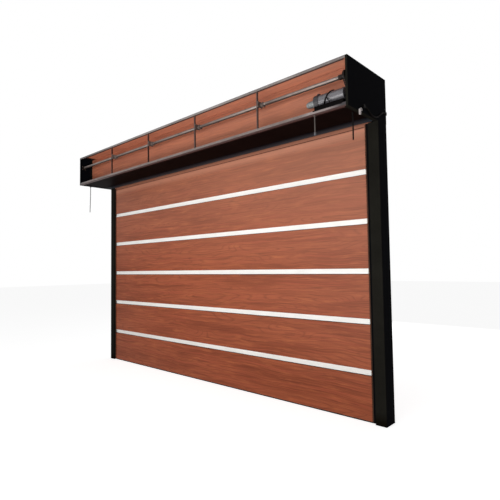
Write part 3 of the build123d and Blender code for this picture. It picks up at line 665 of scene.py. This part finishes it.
def bearing_fasteners():
    """Bracket bolts, grease nipples, collar screws and the end bearings' bolts."""
    plate_face = 0.011
    plate_bolt = 0.022
    boss_middle = 0.024
    boss_top = 0.0212
    collar_middle = 0.0455
    collar_half = 0.023
    flange_bolt = 0.024
    nipple = [(0.0, 0.004), (0.004, 0.004), (0.005, 0.0022)]
    nipple += [(0.008, 0.0022), (0.0095, 0.003), (0.011, 0.0016)]
    screw = [(0.0, 0.0035), (0.004, 0.0035), (0.0045, 0.003)]
    shape = bmesh.new()
    for bar in BAR_PLACES:
        for height in (-plate_bolt, plate_bolt):
            hex_bolt(shape, (bar + plate_face, -0.648, SHAFT_Z + height), (1, 0, 0), 0.006)
        turned(shape, (bar + boss_middle, SHAFT_Y, SHAFT_Z + boss_top), (0, 0, 1), nipple, 8)
        turned(shape, (bar + collar_middle, SHAFT_Y - collar_half, SHAFT_Z), (0, -1, 0), screw, 10)
        turned(shape, (bar + collar_middle, SHAFT_Y, SHAFT_Z - collar_half), (0, 0, -1), screw, 10)
    for face, inward in ((-0.0455, 1.0), (5.0055, -1.0)):
        for across in (-flange_bolt, flange_bolt):
            for height in (-flange_bolt, flange_bolt):
                hex_bolt(shape, (face, SHAFT_Y + across, SHAFT_Z + height), (inward, 0, 0), 0.005)
    finish_piece("bearing_fasteners", shape, bracket_metal)


def weld_beads():
    """Uneven weld beads between the bars, their brackets and the soffit."""
    bar_side = 0.0065
    bar_end = 0.0055
    bracket_half = 0.030
    weld_front = -0.6585
    weld_back = -0.6405
    bead_step = 0.002
    bead_radius = 0.0026
    ripple = 0.0006
    shape = bmesh.new()
    for bar in BAR_PLACES:
        left = bar - bar_side
        bracket = bar + bar_side
        runs = [
            [(bracket, BAR_BACK, SHAFT_Z - bracket_half), (bracket, BAR_BACK, SHAFT_Z + bracket_half)],
            [(left, weld_front, SOFFIT_TOP), (left, weld_back, SOFFIT_TOP)],
            [(bracket, weld_front, SOFFIT_TOP), (bracket, weld_back, SOFFIT_TOP)],
            [(bar - bar_end, BAR_BACK, SOFFIT_TOP), (bar + bar_end, BAR_BACK, SOFFIT_TOP)],
        ]
        for start, end in runs:
            steps = max(4, int((Vector(end) - Vector(start)).length / bead_step))
            points = [Vector(start).lerp(Vector(end), step / steps) for step in range(steps + 1)]
            radii = [bead_radius + ripple * (step % 2) for step in range(steps + 1)]
            swept(shape, points, radii, 7)
    finish_piece("weld_beads", shape, dark_iron, True)


header_rivets()
rail_bolts()
bearing_fasteners()
weld_beads()

# Roller chain: its pitch line runs round both sprockets, in the plane across the shaft
PITCH = 0.015875
LINKS = 36
SHAFT_TEETH = 18
MOTOR_TEETH = 15
CHAIN_X = 4.9635
PLATE_END_RADIUS = 0.0072
PLATE_WAIST = 0.0056
shaft_axis = (SHAFT_Y, SHAFT_Z)
motor_axis = (MOTOR_Y, MOTOR_Z)
shaft_radius = PITCH / (2 * sin(pi / SHAFT_TEETH))
motor_radius = PITCH / (2 * sin(pi / MOTOR_TEETH))
lean_angle = atan2(MOTOR_Z - SHAFT_Z, MOTOR_Y - SHAFT_Y)
centres = sqrt((MOTOR_Y - SHAFT_Y) ** 2 + (MOTOR_Z - SHAFT_Z) ** 2)
slope = asin((shaft_radius - motor_radius) / centres)
straight = centres * cos(slope)
far_run = SHAFT_TEETH * PITCH * (pi + 2 * slope) / (2 * pi)
near_run = MOTOR_TEETH * PITCH * (pi - 2 * slope) / (2 * pi)
loop_run = far_run + near_run + 2 * straight


def on_circle(centre, radius, angle):
    """The point of a sprocket's pitch circle at an angle."""
    return centre[0] + radius * cos(angle), centre[1] + radius * sin(angle)


def between(first, second, share):
    """The point a share of the way from one point to another."""
    return tuple(a + (b - a) * share for a, b in zip(first, second))


def chain_place(run):
    """The pitch line's point at a distance along the loop."""
    run = run % loop_run
    leave = lean_angle - pi / 2 + slope
    rejoin = lean_angle + pi / 2 - slope
    if run < far_run / 2:
        return on_circle(shaft_axis, shaft_radius, lean_angle + pi + (pi + 2 * slope) * run / far_run)
    run -= far_run / 2
    if run < straight:
        start = on_circle(shaft_axis, shaft_radius, leave)
        end = on_circle(motor_axis, motor_radius, leave)
        return between(start, end, run / straight)
    run -= straight
    if run < near_run:
        return on_circle(motor_axis, motor_radius, leave + (pi - 2 * slope) * run / near_run)
    run -= near_run
    if run < straight:
        start = on_circle(motor_axis, motor_radius, rejoin)
        end = on_circle(shaft_axis, shaft_radius, rejoin)
        return between(start, end, run / straight)
    run -= straight
    return on_circle(shaft_axis, shaft_radius, rejoin + (pi + 2 * slope) * run / far_run)


def link_plate(mesh, first, second, inside, outside):
    """A waisted plate with round ends over two pins."""
    middle = (Vector(first) + Vector(second)) / 2
    run = (Vector(second) - Vector(first)).normalized()
    across = Vector((-run.y, run.x))
    outline = []
    for end, start_angle in ((Vector(second), -pi / 2), (Vector(first), pi / 2)):
        for step in range(7):
            angle = start_angle + pi * step / 6
            outline.append(end + PLATE_END_RADIUS * (cos(angle) * run + sin(angle) * across))
        side = 1 if start_angle < 0 else -1
        outline.append(middle + side * PLATE_WAIST * across)
    lower = [mesh.verts.new((inside, point.x, point.y)) for point in outline]
    upper = [mesh.verts.new((outside, point.x, point.y)) for point in outline]
    mesh.faces.new(lower)
    mesh.faces.new(upper)
    for number in range(len(outline)):
        after = (number + 1) % len(outline)
        mesh.faces.new((lower[number], lower[after], upper[after], upper[number]))


def chain_link_plates():
    """Outer link plates and pin heads on both sides of the solid chain."""
    plate_inside = 0.0065
    plate_outside = 0.0081
    pin = [(0.0, 0.0027), (0.0026, 0.0027), (0.0031, 0.002)]
    shape = bmesh.new()
    rollers = [chain_place(number * loop_run / LINKS) for number in range(LINKS)]
    for side in (-1.0, 1.0):
        inside = CHAIN_X + side * plate_inside
        outside = CHAIN_X + side * plate_outside
        for number in range(0, LINKS, 2):
            link_plate(shape, rollers[number], rollers[number + 1], inside, outside)
        for place in rollers:
            turned(shape, (inside, *place), (side, 0, 0), pin, 10)
    finish_piece("chain_link_plates", shape, dark_iron)


def motor_fittings():
    """Cover screws and two pressed bands round the motor."""
    screw_count = 6
    screw_circle = 0.0535
    first_screw = 0.3
    tube_radius = 0.065
    band_edge = 0.0649
    band_slope = 0.0008
    shape = bmesh.new()
    for number in range(screw_count):
        angle = 2 * pi * number / screw_count + first_screw
        place = (MOTOR_LEFT, MOTOR_Y + screw_circle * cos(angle), MOTOR_Z + screw_circle * sin(angle))
        hex_bolt(shape, place, (-1, 0, 0), 0.0035)
    for start, end, lift in ((0.233, 0.239, 0.0009), (0.303, 0.326, 0.0012)):
        band = [
            (0.0, band_edge),
            (band_slope, tube_radius + lift),
            (end - start - band_slope, tube_radius + lift),
            (end - start, band_edge),
        ]
        turned(shape, (MOTOR_LEFT + start, MOTOR_Y, MOTOR_Z), (1, 0, 0), band, 64)
    finish_piece("motor_fittings", shape, motor_paint)


def clamp_ears():
    """The clamp's two ears and the bolt that draws them together."""
    ear_left = 4.612
    ear_right = 4.636
    ear_bottom = MOTOR_Z + 0.0695
    ear_top = MOTOR_Z + 0.084
    ear_thickness = 0.004
    ear_gap = 0.012
    bolt_place = (ear_left + ear_right) / 2
    bolt_height = MOTOR_Z + 0.0775
    bolt_end = [(0.0, 0.003), (0.008, 0.003), (0.009, 0.0022)]
    shape = bmesh.new()
    for offset in (0.0, ear_gap):
        back = MOTOR_Y - 0.006 + offset
        block(shape, (ear_left, back - ear_thickness, ear_bottom), (ear_right, back, ear_top), 0.0012)
    hex_bolt(shape, (bolt_place, MOTOR_Y - 0.010, bolt_height), (0, -1, 0), 0.0045)
    turned(shape, (bolt_place, MOTOR_Y + 0.006, bolt_height), (0, 1, 0), bolt_end, 10)
    finish_piece("clamp_ears", shape, clamp_paint)


def motor_lead_tail():
    """Short tail of the motor's lead, down to a grommet on the duct."""
    sheath_radius = 0.0042
    route = [
        (4.757, -0.6020, 3.118),
        (4.768, -0.6050, 3.104),
        (4.780, -0.6075, 3.086),
        (4.794, -0.6095, 3.066),
        (4.806, -0.6120, 3.048),
        (4.812, -0.6180, 3.0405),
    ]
    grommet = [(0.0, 0.009), (0.003, 0.009), (0.004, 0.0065), (0.010, 0.0065)]
    shape = bmesh.new()
    swept(shape, route, [sheath_radius] * len(route), 10)
    turned(shape, (4.812, -0.618, 3.0395), (0, 0, 1), grommet, 12)
    finish_piece("motor_lead_tail", shape, cable_rubber, True)


def duct_lid():
    """Lid of the cable duct, with a clip line along each long edge; its near-black plastic also paints
    the shade under the motor.
    """
    lid_face = -0.6578
    clip_radius = 0.0012
    shape = bmesh.new()
    block(shape, (4.657, lid_face, 2.9725), (4.9645, -0.6560, 3.0365), 0.0007)
    for height in (2.978, 3.031):
        swept(shape, [(4.6575, lid_face, height), (4.964, lid_face, height)], [clip_radius] * 2, 8)
    finish_piece("duct_lid", shape, duct_plastic_and_shade)


def rod_socket_trim():
    """Cross pin and collar of the crank rod's bayonet socket."""
    pin_half = 0.013
    pin = [(0.0, 0.0022), (0.0008, 0.0028), (0.0252, 0.0028), (0.026, 0.0022)]
    collar = [(0.0, 0.0105), (0.0008, 0.0115), (0.0042, 0.0115), (0.005, 0.0105)]
    shape = bmesh.new()
    turned(shape, (ROD_AXIS - pin_half, ROD_Y, 2.782), (1, 0, 0), pin, 12)
    turned(shape, (ROD_AXIS, ROD_Y, 2.7935), (0, 0, 1), collar, 24)
    finish_piece("rod_socket_trim", shape, rod_metal, True)


def shaft_tubes():
    """Tubes round the drive shaft between its brackets, with a groove near each end."""
    collar_end = 0.053
    bracket_gap = 0.002
    block_gap = 0.004
    tube_end = [(0.0, 0.0152), (0.0, 0.0178), (0.0012, 0.0190), (0.020, 0.0190)]
    tube_end += [(0.0208, 0.0184), (0.0232, 0.0184), (0.024, 0.0190)]
    starts = [-0.012] + [bar + collar_end for bar in BAR_PLACES]
    ends = [bar - bracket_gap for bar in BAR_PLACES] + [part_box("shaft_end_block")[0].x - block_gap]
    shape = bmesh.new()
    for start, end in zip(starts, ends):
        length = end - start
        tube = tube_end + [(length - along, radius) for along, radius in reversed(tube_end)]
        turned(shape, (start, SHAFT_Y, SHAFT_Z), (1, 0, 0), tube, 28)
    finish_piece("shaft_tubes", shape, shaft_metal, True)


def top_cover_strip():
    """Cover strip over the leaf's top joint."""
    inset = 0.1035
    shape = bmesh.new()
    block(shape, (inset, -0.0752, 2.9375), (DOOR_WIDTH - inset, -0.0732, 2.9590), 0.0007)
    finish_piece("top_cover_strip", shape, wood)


def top_joint_seal():
    """Round seal under the cover strip."""
    inset = 0.105
    seal_radius = 0.0030
    points = [(x, -0.0730, 2.9345) for x in (inset, DOOR_WIDTH / 2, DOOR_WIDTH - inset)]
    shape = bmesh.new()
    swept(shape, points, [seal_radius] * len(points), 8)
    finish_piece("top_joint_seal", shape, joint_rubber, True)


def lining_shadow_trim():
    """Dark trim on the front of the header's lining, which paints the top rail's shadow line there, with
    two rivets left of each bar.
    """
    inset = 0.002
    underside = 3.4125
    shape = bmesh.new()
    block(shape, (inset, -0.6365, underside), (DOOR_WIDTH - inset, -0.6100, 3.4172), 0.0015)
    for bar in BAR_PLACES:
        for distance in (0.24, 0.48):
            rivet(shape, (bar - distance, -0.6230, underside), (0, 0, -1), RIVET_RADIUS)
    finish_piece("lining_shadow_trim", shape, bar_paint)


def rail_shadow_guard():
    """Black rubber guard over the bottom rail's edge at the duct, which also paints the shade on the
    rail's top edge there.
    """
    shape = bmesh.new()
    block(shape, (4.640, -0.6662, 2.9920), (4.9560, -0.6585, 3.0030), 0.0018)
    finish_piece("rail_shadow_guard", shape, cable_rubber)


def motor_nose_casting():
    """Stepped casting of the motor's nose, with a rounded cap and screws round its shoulder."""
    profile = [(0.0, 0.0400), (0.006, 0.0400), (0.008, 0.0355), (0.028, 0.0345)]
    profile += [(0.0295, 0.0365), (0.0375, 0.0365), (0.039, 0.0340), (0.060, 0.0330)]
    profile += [(0.0615, 0.0345), (0.0665, 0.0345), (0.068, 0.0325), (0.086, 0.0310)]
    profile += [(0.098, 0.0275), (0.106, 0.0215), (0.110, 0.0130), (0.111, 0.0060)]
    screw_count = 3
    screw_circle = 0.0375
    first_screw = 0.5
    shoulder = MOTOR_LEFT - 0.006
    screw = [(0.0, 0.0022), (0.002, 0.0022), (0.0026, 0.0016)]
    shape = bmesh.new()
    turned(shape, (MOTOR_LEFT, MOTOR_Y, MOTOR_Z), (-1, 0, 0), profile, 40)
    for number in range(screw_count):
        angle = 2 * pi * number / screw_count + first_screw
        place = (shoulder, MOTOR_Y + screw_circle * cos(angle), MOTOR_Z + screw_circle * sin(angle))
        turned(shape, place, (-1, 0, 0), screw, 8)
    casting = finish_piece("motor_nose_casting", shape, nose_metal, True)
    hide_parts("motor_nose")


def two_lobed_connector():
    """Connector on the right end: a round socket, a short neck and a plug with a ribbed grip."""
    socket = [(0.0, 0.0145), (0.0015, 0.0160), (0.0120, 0.0160), (0.0145, 0.0145)]
    socket += [(0.0150, 0.0105), (0.0142, 0.0100), (0.0142, 0.0040)]
    plug = [(0.0, 0.0050), (0.0015, 0.0085), (0.007, 0.0098), (0.008, 0.0088), (0.011, 0.0088)]
    plug += [(0.012, 0.0102), (0.015, 0.0104), (0.016, 0.0092), (0.019, 0.0092), (0.020, 0.0108)]
    plug += [(0.040, 0.0112), (0.052, 0.0104), (0.056, 0.0080), (0.0575, 0.0040)]
    neck_start = Vector((5.0285, -0.474, 2.966))
    neck_end = Vector((5.0285, -0.447, 2.9755))
    neck_radii = [0.0085, 0.0080, 0.0088, 0.0080, 0.0088, 0.0080, 0.0085]
    neck_steps = len(neck_radii) - 1
    neck = [neck_start.lerp(neck_end, step / neck_steps) for step in range(neck_steps + 1)]
    shape = bmesh.new()
    turned(shape, (5.0176, -0.446, 2.975), (1, 0, 0), socket, 28)
    turned(shape, (5.0292, -0.474, 2.920), (0, 0, 1), plug, 24)
    swept(shape, neck, neck_radii, 14)
    connector = finish_piece("two_lobed_connector", shape, white_plastic, True)
    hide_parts("connector_block")


chain_link_plates()
motor_fittings()
clamp_ears()
motor_lead_tail()
duct_lid()
rod_socket_trim()
shaft_tubes()
top_cover_strip()
top_joint_seal()
lining_shadow_trim()
rail_shadow_guard()
motor_nose_casting()
two_lobed_connector()

# Pale floor and studio light
FLOOR_REACH = 40.0
FLOOR_HEIGHT = -0.001
floor_mesh = bpy.data.meshes.new("floor")
corners = [
    (-FLOOR_REACH, -FLOOR_REACH, FLOOR_HEIGHT),
    (FLOOR_REACH, -FLOOR_REACH, FLOOR_HEIGHT),
    (FLOOR_REACH, FLOOR_REACH, FLOOR_HEIGHT),
    (-FLOOR_REACH, FLOOR_REACH, FLOOR_HEIGHT),
]
floor_mesh.from_pydata(corners, [], [(0, 1, 2, 3)])
floor = bpy.data.objects.new("floor", floor_mesh)
bpy.context.scene.collection.objects.link(floor)


def seen_directly(tree):
    """1 for camera, glossy and transmission rays, and 0 for the light on the object."""
    path = tree.nodes.new("ShaderNodeLightPath")
    either = calc(tree, "MAXIMUM", path.outputs["Is Camera Ray"], path.outputs["Is Glossy Ray"])
    return calc(tree, "MAXIMUM", either, path.outputs["Is Transmission Ray"])


floor_material, floor_tree, floor_shader = new_material("floor_paint", 0.9, 0.0, 0.0)
floor_grain = noise(floor_tree, metres(floor_tree, (1.5, 1.5, 1.5)), 3.0, 0.5)
floor_colour = mix(floor_tree, floor_grain, (0.80, 0.80, 0.80, 1.0), (0.83, 0.83, 0.83, 1.0))
link(floor_tree, floor_colour, floor_shader.inputs["Base Color"])
floor_shader.inputs["Emission Color"].default_value = (1.0, 1.0, 1.0, 1.0)
FLOOR_LIFT = 0.78
link(
    floor_tree,
    calc(floor_tree, "MULTIPLY", seen_directly(floor_tree), FLOOR_LIFT),
    floor_shader.inputs["Emission Strength"],
)
floor_mesh.materials.append(floor_material)

WORLD_LIGHT = 0.2
world = bpy.data.worlds.new("studio")
bpy.context.scene.world = world
world.use_nodes = True
world_tree = world.node_tree
background = world_tree.nodes["Background"]
background.inputs["Color"].default_value = (1.0, 1.0, 1.0, 1.0)
world_strength = stretch(world_tree, seen_directly(world_tree), 0.0, 1.0, WORLD_LIGHT, 1.0)
link(world_tree, world_strength, background.inputs["Strength"])


def add_light(name, place, target, width, height, power, spread=180.0):
    """A soft lamp in metres, watts and degrees, turned towards its target."""
    data = bpy.data.lights.new(name, "AREA")
    data.shape = "RECTANGLE"
    data.size = width
    data.size_y = height
    data.energy = power
    data.spread = radians(spread)
    lamp = bpy.data.objects.new(name, data)
    lamp.location = place
    lamp.rotation_euler = (Vector(target) - Vector(place)).to_track_quat("-Z", "Y").to_euler()
    bpy.context.scene.collection.objects.link(lamp)


add_light("key_light", (3.9, -7.2, 1.7), (3.1, 0.0, 1.5), 6.5, 1.4, 266.0)
add_light("back_light", (2.6, 7.5, 2.2), (2.4, 0.0, 1.7), 6.5, 1.4, 130.0)
add_light("low_light", (3.6, -3.6, 0.7), (3.2, -0.4, 3.3), 7.0, 0.7, 50.0, 120.0)

bpy.context.scene.view_settings.view_transform = "Standard"
